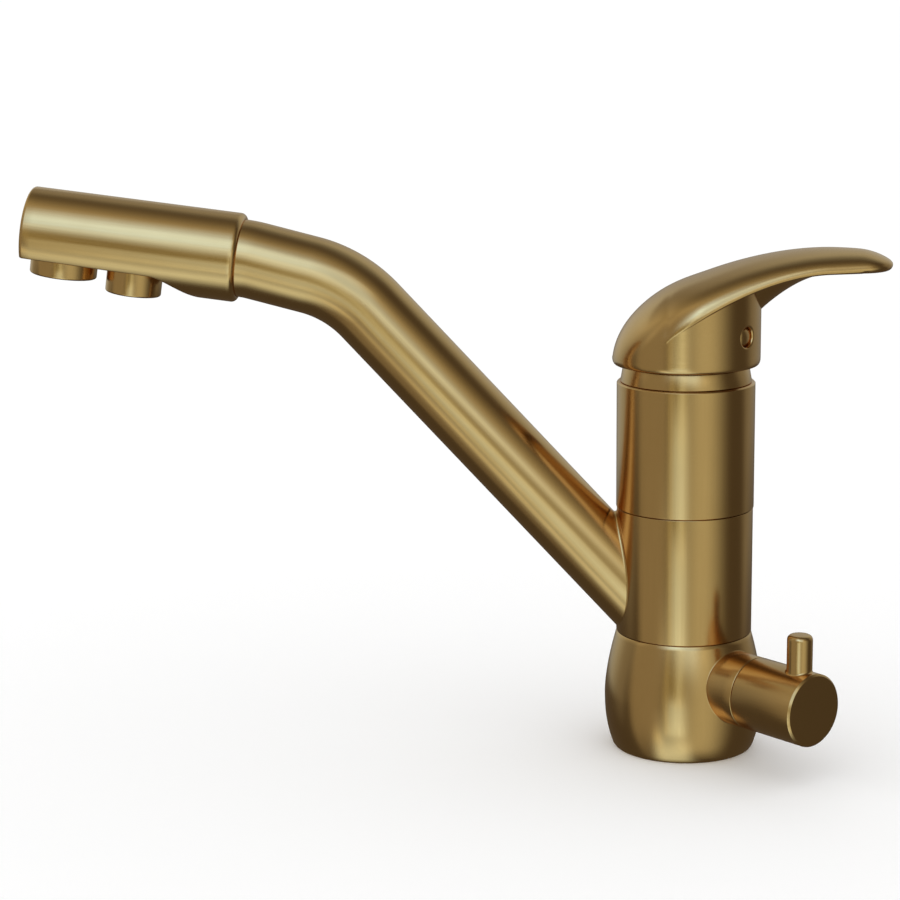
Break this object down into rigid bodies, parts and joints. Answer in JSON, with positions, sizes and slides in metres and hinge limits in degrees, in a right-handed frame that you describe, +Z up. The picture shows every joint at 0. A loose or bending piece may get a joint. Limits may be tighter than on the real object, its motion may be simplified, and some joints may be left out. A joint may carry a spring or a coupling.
{
  "type": "kitchen mixer tap",
  "caption": "One-hole kitchen mixer tap with a swivel spout, a wing lever and a side valve that lets filtered water out of its own outlet.",
  "frame": {"origin": "centre of the underside of the base, on the axis of the body, where it stands on the worktop", "axes": "+Z up along the body, -X along the spout at rest, +X along the lever at rest, so that +X lies along the longest extent and +Y along the shortest"},
  "size_m": [0.3104, 0.0827, 0.2044],
  "materials": {
    "bronze": "satin brushed bronze gold plating on brass",
    "brass": "turned bare brass",
    "steel": "plain stainless steel",
    "ceramic": "polished alumina ceramic",
    "seal": "moulded rubber",
    "plastic": "moulded engineering plastic",
    "insert": "moulded aerator insert"
  },
  "bodies": {
    "body": {"base_body": "bronze", "base_gasket": "seal", "neck_seal_lower": "seal", "neck_seal_middle": "seal", "neck_seal_upper": "seal", "lower_slip_ring": "plastic", "upper_slip_ring": "plastic", "upper_body": "bronze", "dome_cap": "bronze", "cartridge_seal": "seal", "cartridge_base": "plastic", "cartridge_housing": "plastic", "fixed_ceramic_disc": "ceramic", "cartridge_nut": "brass", "valve_seal": "seal", "valve_fixed_disc": "ceramic", "valve_headwork": "brass", "headwork_o_ring": "seal"},
    "spout": {"spout_collar": "bronze", "spout_tube": "bronze", "filter_water_tube": "plastic", "outlet_head": "bronze", "head_seal": "seal", "main_aerator_housing": "bronze", "main_aerator_insert": "insert", "main_aerator_washer": "seal", "filter_aerator_housing": "bronze", "filter_aerator_insert": "insert", "filter_aerator_washer": "seal", "filter_outlet_adapter": "plastic"},
    "rotor": {"cartridge_rotor": "plastic", "cartridge_pivot_pin": "steel"},
    "lever": {"cartridge_stem": "brass", "lever_handle": "bronze", "lever_grub_screw": "steel", "lever_plug": "bronze"},
    "disc": {"moving_ceramic_disc": "ceramic", "disc_driver": "plastic"},
    "knob": {"valve_turning_disc": "ceramic", "valve_spindle": "brass", "valve_knob": "bronze", "knob_pin": "bronze", "knob_grub_screw": "steel"}
  },
  "joints": [
    {"name": "spout_swivel", "type": "hinge", "parent": "body", "child": "spout", "pos_m": [0, 0, 0.06632], "axis": [0, 0, 1], "continuous": true},
    {"name": "lever_turn", "type": "hinge", "parent": "body", "child": "rotor", "pos_m": [0, 0, 0.1365], "axis": [0, 0, 1], "range_deg": [-50, 50]},
    {"name": "lever_lift", "type": "hinge", "parent": "rotor", "child": "lever", "pos_m": [0, 0, 0.1365], "axis": [0, -1, 0], "range_deg": [0, 20]},
    {"name": "disc_slide", "type": "slide", "parent": "rotor", "child": "disc", "axis": [1, 0, 0], "range_m": [0, 0.0045]},
    {"name": "filter_knob_turn", "type": "hinge", "parent": "body", "child": "knob", "pos_m": [0, 0, 0.027], "axis": [0.7071, -0.7071, 0], "range_deg": [0, 90]}
  ],
  "couplings": [
    {"joint": "disc_slide", "follows": "lever_lift", "m_per_rad": 0.0125}
  ]
}
